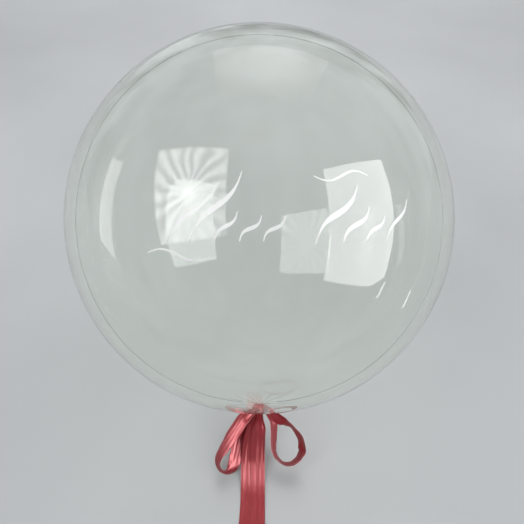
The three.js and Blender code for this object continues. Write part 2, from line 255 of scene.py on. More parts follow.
def drawn_share(distance):
    """The share of its width that the ribbon keeps near the knot: a smooth step from the gathered width to
    the whole width over the gathered run."""
    t = np.clip(distance / GATHERED_RUN, 0, 1)
    return (GATHERED_WIDTH + (RIBBON_WIDTH - GATHERED_WIDTH) * (3 * t**2 - 2 * t**3)) / RIBBON_WIDTH


def clear_of_knot(distance):
    """None at the knot, all of it further on: the two ends lie close together at the knot, so the waves and
    creases that would make them cut into each other start beyond it."""
    return 1 - np.exp(-((distance / KNOT_REACH) ** 2))


def ribbon_rings(
    line, across, pinch=1.0, cup=0.0, ripple=0.0, creases=(), end_slant=0.0, width=RIBBON_WIDTH
):
    """Rings of a ribbon along line. At each station: side is across made square to the run, face is run x
    side. A ring point is line + side * a * width * pinch + face * (fold + cup + ripple + half thickness).
    a goes from -1/2 to 1/2 across, with closer steps near the edges. pinch is the share of the full width
    left at each station, cup how far the middle stands off the edges, and ripple the height of the long
    waves that the knot leaves in the cloth. A crease is a rounded ridge along the ribbon: its place across
    and its height. The last ring slants by end_slant from edge to edge."""
    count = len(line)
    run = np.gradient(line, axis=0)
    run /= np.linalg.norm(run, axis=1, keepdims=True)
    side = across - np.einsum("ij,ij->i", across, run)[:, None] * run
    side /= np.linalg.norm(side, axis=1, keepdims=True)
    face = np.cross(run, side)
    pinch, cup, ripple = (np.broadcast_to(value, count) for value in (pinch, cup, ripple))
    even = np.linspace(-0.5, 0.5, RIBBON_COLUMNS)
    a = (1 - 2 * COLUMN_CROWDING) * even + COLUMN_CROWDING * np.sin(math.pi * even)
    slack = np.sqrt(np.maximum(1 - pinch**2, 0)) * width / (2 * math.pi * RIBBON_FOLDS)
    wave = np.sin(2 * math.pi * RIBBON_FOLDS * a)[None, :] * slack[:, None] * FOLD_FULLNESS
    wave = wave + np.sin(2 * math.pi * RIPPLE_WAVES * a + RIPPLE_START)[None, :] * ripple[:, None]
    for place, height in creases:
        ridge = np.exp(-(((a - place) / CREASE_BREADTH) ** 2))
        wave = wave + ridge[None, :] * np.broadcast_to(height, count)[:, None]
    bow_out = (0.25 - a**2)[None, :] * 4 * cup[:, None]
    to_edge = 0.5 - abs(a)
    rounded = 1 - np.clip(to_edge / EDGE_ROUNDING, 0, 1)
    half = RIBBON_THICKNESS / 2 * np.sqrt(1 - rounded**2 * (1 - EDGE_THICKNESS**2))
    half = half + SELVEDGE_SWELL * np.exp(-(((to_edge - SELVEDGE_PLACE) / SELVEDGE_BREADTH) ** 2))
    slant = np.zeros((count, RIBBON_COLUMNS))
    slant[-1] = a * end_slant
    middle = line[:, None] + side[:, None] * (a[None, :] * width * pinch[:, None])[..., None]
    middle = middle + run[:, None] * slant[..., None]
    top = middle + face[:, None] * (wave + bow_out + half[None, :])[..., None]
    under = middle + face[:, None] * (wave + bow_out - half[None, :])[..., None]
    rings = np.concatenate([top, under[:, ::-1]], axis=1)
    length = arc_lengths(line)
    u = np.concatenate([a, a[::-1]]) + 0.5
    uv = np.stack(
        [np.broadcast_to(u * width, (count, len(u))), np.broadcast_to(length[:, None], (count, len(u)))],
        axis=2,
    )
    return rings, uv


def ribbon_object(name, line, across, **shape):
    """A closed ribbon mesh along a line."""
    rings, uv = ribbon_rings(line, across, **shape)
    return face_outward(grid_object(name, rings, uv=uv))


print("ribbon section of", 2 * RIBBON_COLUMNS, "points")

# %% [markdown]
# ## The ribbon's two free ends
# The ends are free cords, so their routes come first. The short end runs from the knot down to the floor and
# along it. The long end does the same, then turns up on its edge and is wound in a flat coil of two and a
# half turns, as it would be put away. The listed points are the solids' own, in metres. At the knot the
# ends lie close together, so both are folded into the same pleats there, which then lie in each other.

# %% Routes of the ribbon ends
SHORT_END_ROUTE = [
    (-0.0030, -0.2129, 0.0733), (-0.0040, -0.2160, 0.0698), (-0.0078, -0.2250, 0.0570),
    (-0.0128, -0.2370, 0.0425), (-0.0165, -0.2510, 0.0280), (-0.0180, -0.2670, 0.0145),
    (-0.0180, -0.2860, 0.0050), (-0.0180, -0.3070, 0.0010), (-0.0185, -0.3300, 0.0005),
    (-0.0200, -0.3550, 0.0005), (-0.0230, -0.3850, 0.0005), (-0.0270, -0.4180, 0.0005),
]
LONG_END_ROUTE = [
    (0.0005, -0.2125, 0.0759),
    (0.0001, -0.2165, 0.0718), (-0.0008, -0.2260, 0.0583), (-0.0019, -0.2380, 0.0440),
    (-0.0026, -0.2520, 0.0296), (-0.0028, -0.2680, 0.0162), (-0.0028, -0.2870, 0.0068),
    (-0.0029, -0.3080, 0.0026), (-0.0030, -0.3300, 0.0018), (-0.0030, -0.3500, 0.0019),
    (-0.0030, -0.3700, 0.0040), (-0.0030, -0.3900, 0.0080), (-0.0030, -0.4100, 0.0110),
    (-0.0030, -0.4270, 0.0119),
]
LONG_END_EDGE_ON = [0] * 16 + [0.35, 0.75, 1, 1]
COIL_INNER_RADIUS = 0.044
COIL_PITCH = 0.008
COIL_TURNS = 2.5
COIL_START = 0.03
COIL_CENTRE_Y = -0.440
coil_outer_radius = COIL_INNER_RADIUS + COIL_PITCH * COIL_TURNS
coil_centre = np.array([LONG_END_ROUTE[-1][0] + coil_outer_radius, COIL_CENTRE_Y])


def coil_line(steps_per_turn=48):
    """The wound turns: the angle goes evenly round, the radius shrinks by one pitch a turn, height fixed."""
    turn = np.linspace(COIL_START, COIL_TURNS, int(COIL_TURNS * steps_per_turn))
    angle = math.pi + 2 * math.pi * turn
    reach = coil_outer_radius - COIL_PITCH * turn
    x = coil_centre[0] + reach * np.cos(angle)
    y = coil_centre[1] + reach * np.sin(angle)
    return np.stack([x, y, np.full_like(x, LONG_END_ROUTE[-1][2])], axis=1)


short_line = evenly(catmull_rom(SHORT_END_ROUTE), 110)
long_run = catmull_rom(LONG_END_ROUTE)
long_line = evenly(np.vstack([long_run, coil_line()]), 560)
print("end lengths in metres:", [round(float(arc_lengths(line)[-1]), 4) for line in (short_line, long_line)])


# %% Make the ribbon ends
def end_shape(at, ripple, ripple_run, creases):
    """An end's shape at each distance from the knot. Its width grows from the gathered width. Its ripple
    dies away like a bell curve, over the ripple's run, and each crease by exponential decay."""
    clear = clear_of_knot(at)
    return {
        "pinch": drawn_share(at),
        "ripple": ripple * np.exp(-((at / ripple_run) ** 2)) * clear,
        "creases": [(place, height * np.exp(-at / run) * clear) for place, height, run in creases],
    }


short_across = np.broadcast_to(-RIGHT, short_line.shape)
short_creases = ((0.22, -0.0011, 0.22), (-0.16, -0.0008, 0.16))
short_shape = end_shape(arc_lengths(short_line), 0.0009, 0.060, short_creases)
short_end = ribbon_object("short_end", short_line, short_across, end_slant=0.012, **short_shape)

long_at = arc_lengths(long_line)
edge_on = eased(LONG_END_EDGE_ON, long_at / arc_lengths(long_run)[-1]) * math.pi / 2
long_across = np.stack([-np.cos(edge_on), np.zeros_like(edge_on), np.sin(edge_on)], axis=1)
long_creases = ((-0.24, -0.0014, 0.09), (0.12, -0.0006, 0.20))
long_shape = end_shape(long_at, -0.0011, 0.065, long_creases)
long_end = ribbon_object("long_end", long_line, long_across, end_slant=0.010, **long_shape)
print("ribbon ends:", [len(piece.data.polygons) for piece in (short_end, long_end)], "faces")

# %% Make the tie
TIE_WIDTH = 0.009
TIE_TURN = math.radians(-60)
TIE_CORNER_RADIUS = 0.0022
TIE_OVERLAP = 0.010
TIE_CLEARANCE = 0.0009
TIE_STAND_OFF = 0.0006
TIE_RISE = 0.0006
TIE_RISE_RUN = 0.004
TIE_RISE_TO_END = 0.014
COIL_FOOT = 0.0011


def tie_line(count=240):
    """The band's middle line: a box with round corners about the wound turns' section, walked once round
    and a little further. Near its end it rises, so that the end lies over the start."""
    low = np.array([COIL_INNER_RADIUS - TIE_CLEARANCE, COIL_FOOT - TIE_STAND_OFF])
    high = np.array([coil_outer_radius + TIE_CLEARANCE, COIL_FOOT + RIBBON_WIDTH + TIE_STAND_OFF])
    quarter = np.linspace(0, math.pi / 2, 14)
    corners = []
    for k, corner in enumerate((high, (low[0], high[1]), low, (high[0], low[1]))):
        centre = corner + np.sign((low + high) / 2 - corner) * TIE_CORNER_RADIUS
        angle = quarter + k * math.pi / 2
        corners.append(centre + TIE_CORNER_RADIUS * np.stack([np.cos(angle), np.sin(angle)], axis=1))
    start = np.array([[(low[0] + high[0]) / 2, high[1]]])
    loop = np.vstack([start, *corners[1:], corners[0], start, start - [[TIE_OVERLAP, 0]]])
    section = evenly(loop, count)
    to_end = arc_lengths(section)[-1] - arc_lengths(section)
    section[:, 1] += TIE_RISE * np.clip((TIE_RISE_TO_END - to_end) / TIE_RISE_RUN, 0, 1)
    radial = np.array([math.cos(TIE_TURN), math.sin(TIE_TURN)])
    flat = coil_centre + section[:, :1] * radial
    return np.column_stack([flat, section[:, 1]])


tie_places = tie_line()
tie_across = np.broadcast_to([-math.sin(TIE_TURN), math.cos(TIE_TURN), 0.0], tie_places.shape)
tie_rings, tie_uv = ribbon_rings(tie_places, tie_across, width=TIE_WIDTH)
tie = face_outward(grid_object("tie", tie_rings, uv=tie_uv))
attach(tie, "root")
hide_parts("ribbon_tie")
print("tie:", len(tie.data.polygons), "faces")

for piece, line, nodes in (
    (short_end, short_line, ["ribbon_short_end"]),
    (long_end, long_line, ["ribbon_long_end", "ribbon_coil"]),
):
    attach(piece, "root")
    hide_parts(*nodes)
print("cords:", short_end.name, "and", long_end.name, "with the", tie.name)

# %% [markdown]
# ## The bow
# The bow is the same ribbon: a knot wound round the neck, and two loops that hang from it. Each loop is a
# closed route that leaves the knot and comes back. A hanging ribbon twists as it goes, so each point of the
# route also has a turn: 90 shows the ribbon's full face, 0 its edge, and the sign says which edge is nearer.
# The left loop's inner leg turns a little further than the solid's, because its gloss depends on that.
# Places are shares of the loop's own length.

# %% Loops of the bow
LEFT_LOOP_LENGTH = 0.112
RIGHT_LOOP_LENGTH = 0.105
LOOP_FLOOR_GAP = 0.002
LOOP_RIPPLE_RUN = 0.055
LOOP_STEPS = 150
LEFT_LOOP = [
    (-0.036, 0.07, 0.031, -45), (-0.139, 0.133, 0.062, -50), (-0.231, 0.203, 0.089, -48),
    (-0.305, 0.313, 0.116, -54), (-0.387, 0.426, 0.134, -48), (-0.465, 0.554, 0.143, -37),
    (-0.544, 0.674, 0.143, -24), (-0.58, 0.78, 0.134, -24), (-0.565, 0.862, 0.134, -29),
    (-0.51, 0.924, 0.125, -37), (-0.44, 0.93, 0.107, -50), (-0.368, 0.868, 0.071, -64),
    (-0.32, 0.73, 0.009, -76), (-0.286, 0.579, -0.036, -76), (-0.223, 0.411, -0.08, -68),
    (-0.122, 0.237, -0.08, -56), (-0.036, 0.071, -0.036, -50),
]
RIGHT_LOOP = [
    (0.038, 0.076, -0.045, 45), (0.148, 0.177, -0.08, 38), (0.202, 0.254, -0.07, 34),
    (0.216, 0.373, -0.03, 32), (0.212, 0.535, 0.02, 28), (0.211, 0.657, 0.06, 21),
    (0.227, 0.74, 0.085, 10), (0.283, 0.822, 0.1, -3), (0.357, 0.878, 0.112, -9),
    (0.441, 0.884, 0.12, -8), (0.535, 0.834, 0.124, 1), (0.6, 0.748, 0.124, 12),
    (0.626, 0.658, 0.124, 30), (0.618, 0.55, 0.124, 26), (0.577, 0.443, 0.124, 30),
    (0.496, 0.339, 0.12, 25), (0.408, 0.275, 0.125, 38), (0.324, 0.228, 0.13, 58),
    (0.23, 0.168, 0.125, 60), (0.125, 0.107, 0.1, 52), (0.038, 0.067, 0.045, 45),
]


def loop_object(name, shape, length, cup, ripple, creases):
    """A loop: its route is Catmull-Rom through the shares times its length. Seen from the front, outward
    is square to the run, and across = outward * sin(turn) + front * cos(turn). A station is pushed forward
    until the ribbon's lower edge clears the floor. The ripple dies away from the knot like a bell curve."""
    shape = np.array(shape)
    route = shape[:, :3] * length
    places = catmull_rom(in_bow(route[:, 0], route[:, 1], route[:, 2]))
    share = np.linspace(0, 1, len(places))
    turn = np.radians(eased(shape[:, 3], share))
    stations = evenly(np.column_stack([places, turn]), LOOP_STEPS)
    line, turn = stations[:, :3], stations[:, 3:]
    run = np.gradient(line, axis=0)
    outward = (run @ UP)[:, None] * RIGHT - (run @ RIGHT)[:, None] * UP
    outward /= np.linalg.norm(outward, axis=1, keepdims=True)
    across = outward * np.sin(turn) + FRONT * np.cos(turn)
    at = arc_lengths(line)
    from_knot = np.minimum(at, at[-1] - at)
    pinch = drawn_share(from_knot)
    lowest = line[:, 2] - abs(across[:, 2]) * pinch * RIBBON_WIDTH / 2 - RIBBON_THICKNESS
    line = line + np.maximum(LOOP_FLOOR_GAP - lowest, 0)[:, None] / math.cos(NECK_DIP) * FRONT
    ripple = ripple * np.exp(-((from_knot / LOOP_RIPPLE_RUN) ** 2))
    return ribbon_object(name, line, across, pinch=pinch, cup=cup, ripple=ripple, creases=creases)


cup_places, cup_depths = (0, 0.1, 0.3, 0.45, 1), (0.001, 0.003, 0.0025, 0.0004, 0.0004)
left_cup = np.interp(np.linspace(0, 1, LOOP_STEPS), cup_places, cup_depths)
left_creases = ((-0.20, 0.0009), (0.18, -0.0008))
right_creases = ((0.10, 0.0005),)
left_loop = loop_object("left_loop", LEFT_LOOP, LEFT_LOOP_LENGTH, left_cup, 0.0007, left_creases)
right_loop = loop_object("right_loop", RIGHT_LOOP, RIGHT_LOOP_LENGTH, 0.0006, 0.0006, right_creases)
print("loops:", len(left_loop.data.polygons), "and", len(right_loop.data.polygons), "faces")

# %% Knot of the bow
KNOT_TOP_DOWN = 0.0033
KNOT_HEIGHT = 0.008
KNOT_TOP_WIDTH = 0.0106
KNOT_SPREAD = 0.012
KNOT_SWELL = 0.006
KNOT_HOLE_RADIUS = 0.0033
KNOT_TWIST = 0.4
KNOT_FOLDS = 9
KNOT_FINE_FOLDS = 17
KNOT_FOLD_HEIGHT = 0.0003
KNOT_FOLD_GROWTH = 0.0010
KNOT_LIP_SHARE = 0.1
KNOT_LIP_DEPTH = 0.0012
BAND_MIDDLE = 0.34
BAND_TILT = 0.05
BAND_HALF_HEIGHT = 0.24
BAND_LIFT = 0.0004
BAND_RISE = 0.0011
BAND_CRUSH = 0.00022


def knot_ring(share, turn, proud):
    """A place on the knot: an oval whose width and depth grow with the square root of the way down, its
    folds deepening towards the foot, standing proud by the given height."""
    swing = turn + KNOT_TWIST * share
    broad = np.cos(KNOT_FOLDS * swing + 0.8 * np.sin(2 * turn))
    fine = np.cos(KNOT_FINE_FOLDS * swing + 1.3)
    out = (KNOT_FOLD_HEIGHT + KNOT_FOLD_GROWTH * share) * (0.6 * broad + 0.4 * fine) + proud
    wide = (KNOT_TOP_WIDTH + KNOT_SPREAD * np.sqrt(share)) / 2 + out
    deep = (KNOT_TOP_WIDTH + KNOT_SWELL * np.sqrt(share)) / 2 + out
    return in_bow(wide * np.sin(turn), KNOT_TOP_DOWN + KNOT_HEIGHT * share, deep * np.cos(turn))


def knot_skirt():
    """The gathered ribbon round the neck: rings down the outside, in at the lips, and back up the round hole
    that the neck passes through."""
    share = np.linspace(0, 1, 30)[:, None]
    turn = np.linspace(0, 2 * math.pi, 180, endpoint=False)[None, :]
    to_lip = np.clip(np.minimum(share, 1 - share) / KNOT_LIP_SHARE, 0, 1)
    outside = knot_ring(share, turn, -KNOT_LIP_DEPTH * (1 - np.sqrt(1 - (1 - to_lip) ** 2)))
    down = KNOT_TOP_DOWN + KNOT_HEIGHT * share
    hole = in_bow(KNOT_HOLE_RADIUS * np.sin(turn), down, KNOT_HOLE_RADIUS * np.cos(turn))
    rings = np.concatenate([outside, hole[::-1], outside[:1]], axis=0)
    u = np.broadcast_to(turn / (2 * math.pi) * 0.06, rings.shape[:2])
    v = np.broadcast_to(np.linspace(0, 0.03, len(rings))[:, None], rings.shape[:2])
    return face_outward(grid_object("knot_skirt", rings, closed_ends=False, uv=np.stack([u, v], axis=2)))


def knot_band():
    """The one turn of ribbon drawn tight over the gathers. Its section is an oval, crushed on its outer
    side, that covers about half of the knot's height, and it goes once round."""
    turn = np.linspace(0, 2 * math.pi, 160, endpoint=False)[:, None]
    section = np.linspace(0, 2 * math.pi, 36, endpoint=False)[None, :]
    share = BAND_MIDDLE + BAND_TILT * np.sin(turn + 0.6) + BAND_HALF_HEIGHT * np.cos(section)
    crush = np.cos(3.5 * (section - math.pi) + 2 * np.sin(turn)) * np.maximum(np.sin(section), 0)
    proud = BAND_LIFT + BAND_RISE * np.sin(section) + BAND_CRUSH * crush
    rings = knot_ring(share, turn, proud)
    u = np.broadcast_to(section / (2 * math.pi) * 0.03, rings.shape[:2])
    v = np.broadcast_to(turn / (2 * math.pi) * 0.05, rings.shape[:2])
    closed = np.concatenate([rings, rings[:1]], axis=0)
    uv = np.concatenate([np.stack([u, v], axis=2), np.stack([u[:1], v[:1] + 0.05], axis=2)], axis=0)
    return face_outward(grid_object("knot_band", closed, closed_ends=False, uv=uv))


bow = join_meshes("bow", [knot_skirt(), knot_band(), left_loop, right_loop])
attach(bow, "root")
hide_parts("ribbon_bow")
print("bow:", len(bow.data.polygons), "faces")

# %% [markdown]
# ## The film
# The envelope is one clear skin, a small part of a millimetre thick. A see-through skin needs two walls, so
# that light goes in through one face of it and out through the other: a solid ball of glass would turn the
# room upside down. Both walls are the same surface of revolution at two offsets. Near the neck the film is
# gathered into small pleats, and faint wrinkles run out from them.

# %% Film surface
FILM_THICKNESS = 0.00025
NECK_RADIUS = 0.003
NECK_DROP = 0.003
GATHER_REACH = 0.036
NECK_PLEATS = 14
PLEAT_HEIGHT = 0.0018
PLEAT_FADE = 0.020
WRINKLES = 9
WRINKLE_HEIGHT = 0.0005
WRINKLE_REACH = 0.030
WRINKLE_SPREAD = 0.035
CROWN_ANGLE = 0.004
SMALLEST_RING = 0.0004
STUB_LENGTH = 0.018
STUB_HALF_WIDTH = 0.0065
STUB_HALF_DEPTH = 0.002
STUB_BEND = 0.004
STUB_GAP = 0.0003
STUB_PLEATS = 11
STUB_PLEAT_SHARE = 0.16
STUB_RAGGED = 0.0008
FILM_TURNS = 224
SPOT_LIFT = 0.0004


def film_rings(inset):
    """Rings of the film, drawn in by inset. From the crown: circles of radius R sin(polar) at height
    R cos(polar). Over the gathers the radius falls to the neck's and the film drops below the sphere.
    The pleats die away with the distance from the neck, and wrinkles lie like a bell curve about their own
    reach. What would lie under the floor is flat."""
    turn = np.linspace(0, 2 * math.pi, FILM_TURNS, endpoint=False)[None, :]
    gather_angle = math.asin(GATHER_REACH / FILM_RADIUS)
    polar = np.linspace(CROWN_ANGLE, math.pi - gather_angle, 150)[:, None]
    share = np.linspace(0, 1, 26)[1:, None]
    narrowing = GATHER_REACH + (NECK_RADIUS - GATHER_REACH) * share
    reach = np.concatenate([FILM_RADIUS * np.sin(polar), narrowing])
    gathered = np.sqrt(FILM_RADIUS**2 - narrowing**2) + NECK_DROP * share**3
    below = np.concatenate([-FILM_RADIUS * np.cos(polar), gathered])
    slope = np.concatenate([np.sin(polar), np.sin(polar[-1]) * (1 - share) + share**2])
    from_neck = np.where(below > 0, reach, FILM_RADIUS)
    pleat = PLEAT_HEIGHT * np.exp(-from_neck / PLEAT_FADE)
    wrinkle = WRINKLE_HEIGHT * np.exp(-(((from_neck - WRINKLE_REACH) / WRINKLE_SPREAD) ** 2))
    ripple = pleat * np.cos(NECK_PLEATS * turn + 0.6 * np.sin(3 * turn))
    ripple = ripple + wrinkle * np.cos(WRINKLES * turn + 1.9 * np.sin(2 * turn + 1))
    ripple = ripple * np.clip(reach / NECK_RADIUS - 1, 0, 1)
    radial = np.maximum(reach - inset * slope, SMALLEST_RING)
    drop = below - inset * np.sqrt(np.clip(1 - slope**2, 0, 1)) * np.sign(below) + ripple
    rings = to_row(radial * np.sin(turn), -drop, radial * np.cos(turn))
    rings[..., 2] = np.maximum(rings[..., 2], SPOT_LIFT + inset)
    return rings


def stub_rings():
    """The tied film below the neck: ovals that widen and flatten as they go down, pleated, with a bend."""
    turn = np.linspace(0, 2 * math.pi, FILM_TURNS, endpoint=False)[None, :]
    tied = np.linspace(NECK_DROP, KNOT_TOP_DOWN + KNOT_HEIGHT, 6)[:, None] + STUB_GAP + 0 * turn
    share = np.linspace(0, 1, 22)[1:, None]
    wave = np.cos(STUB_PLEATS * turn)
    pleat = 1 + STUB_PLEAT_SHARE * np.sin(math.pi * 0.7 * share) * wave
    wide = (NECK_RADIUS + (STUB_HALF_WIDTH - NECK_RADIUS) * np.sqrt(share)) * pleat
    deep = (NECK_RADIUS + (STUB_HALF_DEPTH - NECK_RADIUS) * np.sqrt(share)) * pleat
    neck = np.full_like(tied, NECK_RADIUS)
    across = np.concatenate([neck, wide])
    depth = np.concatenate([neck, deep])
    down = np.concatenate([tied, tied[-1] + STUB_LENGTH * share + STUB_RAGGED * wave * share])
    bend = np.concatenate([0 * tied[:, :1], STUB_BEND * share])
    return in_bow(across * np.sin(turn), down, depth * np.cos(turn) - bend)


outer_rings = np.concatenate([film_rings(0.0), stub_rings()])
film_outside = face_outward(grid_object("film_outside", outer_rings))
film_inside = face_outward(grid_object("film_inside", film_rings(FILM_THICKNESS)))
film_inside.data.flip_normals()
film = join_meshes("film", [film_outside, film_inside])
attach(film, "root")
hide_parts("balloon_film")
print("film:", len(film.data.polygons), "faces")

# %% [markdown]
# ## The weld
# The envelope is made from two sheets welded together at their edge, and blown up until they stretch into a
# ball. The weld stays as a fine raised line that runs from the neck over the crown and back, square to the
# view. It is a thin half-round bead of the same film, a little duller because it is thicker.

# %% Weld bead
WELD_HALF_WIDTH = 0.0011
WELD_RISE = 0.0005
WELD_LIFT = 0.0001
WELD_START = math.radians(5.5)
WELD_WANDER = ((0.0002, 23, 0), (0.00015, 61, 1))


def weld_rings():
    """The bead's section is a low half-ellipse, carried round the great circle through neck and crown. Its
    middle wanders by two sine waves, each with a height, a number of waves and a start."""
    angle = np.linspace(-math.pi / 2 + WELD_START, 1.5 * math.pi - WELD_START, 420)[:, None]
    section = np.linspace(0, 2 * math.pi, 10, endpoint=False)[None, :]
    lift = FILM_RADIUS + WELD_LIFT + WELD_RISE * np.maximum(np.sin(section), -0.1)
    wander = sum(height * np.sin(waves * angle + start) for height, waves, start in WELD_WANDER)
    front = WELD_HALF_WIDTH * np.cos(section) + wander
    return to_row(lift * np.cos(angle), lift * np.sin(angle), front)


weld = face_outward(grid_object("weld", weld_rings()))
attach(weld, "root")
print("weld:", len(weld.data.polygons), "faces")

# %% [markdown]
# ## White strokes
# Thin white self-adhesive film is cut into slanted, swelled strokes and stuck on the front. Each stroke's
# path is worked out on the sphere: right and up in metres over the surface become two angles. The width
# swells from a hairline at the ends to its most in the middle, as a broad pen's does.

# %% Stroke surface
STROKE_LIFT = 0.0003
STROKE_THICKNESS = 0.0003
STROKE_ROW_WIDTH = 0.294
STROKE_ROW_DROP = 0.018
STROKE_STEPS = 56
BROAD_STROKE = 0.006
MIDDLE_STROKE = 0.005
NARROW_STROKE = 0.004
WAVE_STROKE = 0.0024
HAIRLINE = 0.0011
STROKES = [
    ((-0.415, -0.044), (-0.177, -0.054), 0.017, WAVE_STROKE),
    ((-0.333, -0.007), (-0.136, 0.211), 0.0136, MIDDLE_STROKE),
    ((-0.245, -0.007), (-0.061, 0.238), 0.017, BROAD_STROKE),
    ((-0.156, 0.0), (-0.075, 0.102), 0.0102, NARROW_STROKE),
    ((-0.068, 0.0), (0.007, 0.088), 0.0102, NARROW_STROKE),
    ((0.014, 0.0), (0.088, 0.088), 0.0102, NARROW_STROKE),
    ((0.190, 0.224), (0.401, 0.231), -0.017, WAVE_STROKE),
    ((0.197, -0.007), (0.354, 0.197), 0.017, BROAD_STROKE),
    ((0.299, -0.007), (0.401, 0.122), 0.0136, MIDDLE_STROKE),
    ((0.395, 0.0), (0.469, 0.088), 0.0102, NARROW_STROKE),
    ((0.483, 0.0), (0.585, 0.150), 0.0102, NARROW_STROKE),
]


def on_film(right, up, lift):
    """A point over the film: the angles are the surface distances over the radius."""
    east, north = right / FILM_RADIUS, up / FILM_RADIUS
    reach = FILM_RADIUS + lift
    level = reach * np.cos(north)
    return to_row(level * np.sin(east), reach * np.sin(north), level * np.cos(east))


def stroke_object(name, start, end, bend, width):
    """A swelled stroke: an S-shaped middle line, and a width of hairline plus a sine-squared swell. Both
    ends close in a half-circle. Places and the bend are shares of the row's width."""
    start, end, bend = (np.multiply(value, STROKE_ROW_WIDTH) for value in (start, end, bend))
    share = 0.5 - 0.5 * np.cos(math.pi * np.linspace(0, 1, STROKE_STEPS))
    span = end - start
    length = float(np.hypot(*span))
    normal = np.array([-span[1], span[0]]) / length
    middle = start + share[:, None] * span + (bend * np.sin(2 * math.pi * share))[:, None] * normal
    run = np.gradient(middle, axis=0)
    run /= np.linalg.norm(run, axis=1, keepdims=True)
    half = (HAIRLINE + (width - HAIRLINE) * np.sin(math.pi * share) ** 2) / 2
    to_end = np.minimum(share, 1 - share) * length
    round_off = np.sqrt(np.clip(1 - (1 - np.clip(to_end / (HAIRLINE / 2), 0, 1)) ** 2, 0.02, 1))
    across = np.stack([-run[:, 1], run[:, 0]], axis=1) * (half * round_off)[:, None]
    left, right = middle + across, middle - across
    inner, outer = STROKE_LIFT, STROKE_LIFT + STROKE_THICKNESS
    corners = [
        on_film(edge[:, 0], edge[:, 1] - STROKE_ROW_DROP, lift)
        for edge, lift in ((left, outer), (right, outer), (right, inner), (left, inner))
    ]
    return face_outward(grid_object(name, np.stack(corners, axis=1), smooth=False))


strokes = []
for number, (start, end, bend, width) in enumerate(STROKES, 1):
    stroke = stroke_object(f"stroke_{number}", start, end, bend, width)
    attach(stroke, "root")
    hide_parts(f"white_stroke_{number}")
    strokes.append(stroke)
print("strokes:", len(strokes))

# %% [markdown]
# ## Materials
# Clear film is a shader with full transmission, a plain index of refraction and no roughness; the weld has a
# little. Light has to shine through it to the floor, which plain glass in a path tracer stops, so a Light
# Path switch gives shadow rays and diffuse rays a pale transparent surface instead. The index is set lower
# than real film's, about 1.5, so that the softboxes can be strong enough for the satin's gloss and their
# images in the film stay faint.


# %% Small helpers for materials
def new_material(name):
    """A material with only its Principled shader and output."""
    material = bpy.data.materials.new(name)
    material.use_nodes = True
    nodes = material.node_tree.nodes
    return material, nodes, material.node_tree.links, nodes["Principled BSDF"]


def set_plain(shader, **values):
    """Sets shader sockets by name, with spaces written as underscores."""
    for name, value in values.items():
        shader.inputs[name.replace("_", " ")].default_value = value


def wear(piece, material):
    """The piece's only material."""
    piece.data.materials.clear()
    piece.data.materials.append(material)


def film_material(name, tint, roughness, index, shade):
    """Clear film: glass to the camera and in mirrors, a pale transparent sheet to the rays that carry light
    on to floor and cloth."""
    material, nodes, links, shader = new_material(name)
    set_plain(shader, Base_Color=(*tint, 1), Roughness=roughness, IOR=index, Transmission_Weight=1.0)
    clear = nodes.new("ShaderNodeBsdfTransparent")
    clear.inputs["Color"].default_value = (*shade, 1)
    path = nodes.new("ShaderNodeLightPath")
    carries = nodes.new("ShaderNodeMath")
    carries.operation = "MAXIMUM"
    links.new(path.outputs["Is Shadow Ray"], carries.inputs[0])
    links.new(path.outputs["Is Diffuse Ray"], carries.inputs[1])
    mix = nodes.new("ShaderNodeMixShader")
    links.new(carries.outputs["Value"], mix.inputs["Fac"])
    links.new(shader.outputs["BSDF"], mix.inputs[1])
    links.new(clear.outputs["BSDF"], mix.inputs[2])
    links.new(mix.outputs["Shader"], nodes["Material Output"].inputs["Surface"])
    return material


wear(film, film_material("clear_film", (0.970, 0.987, 0.960), 0.0, 1.21, (0.992, 0.995, 0.990)))
wear(weld, film_material("clear_weld", (0.42, 0.45, 0.44), 0.12, 1.45, (0.8, 0.8, 0.8)))
print("film materials made")

# %% [markdown]
# ## Satin
# Satin shows long threads that lie side by side on its face. They give it a bright line of gloss that
# spreads across them, not along them, so the gloss is anisotropic and follows the ribbon's own UV map.

# %% Satin
RIBBON_RED = (0.38, 0.016, 0.026)
RIBBON_DEEP = (0.20, 0.003, 0.007)


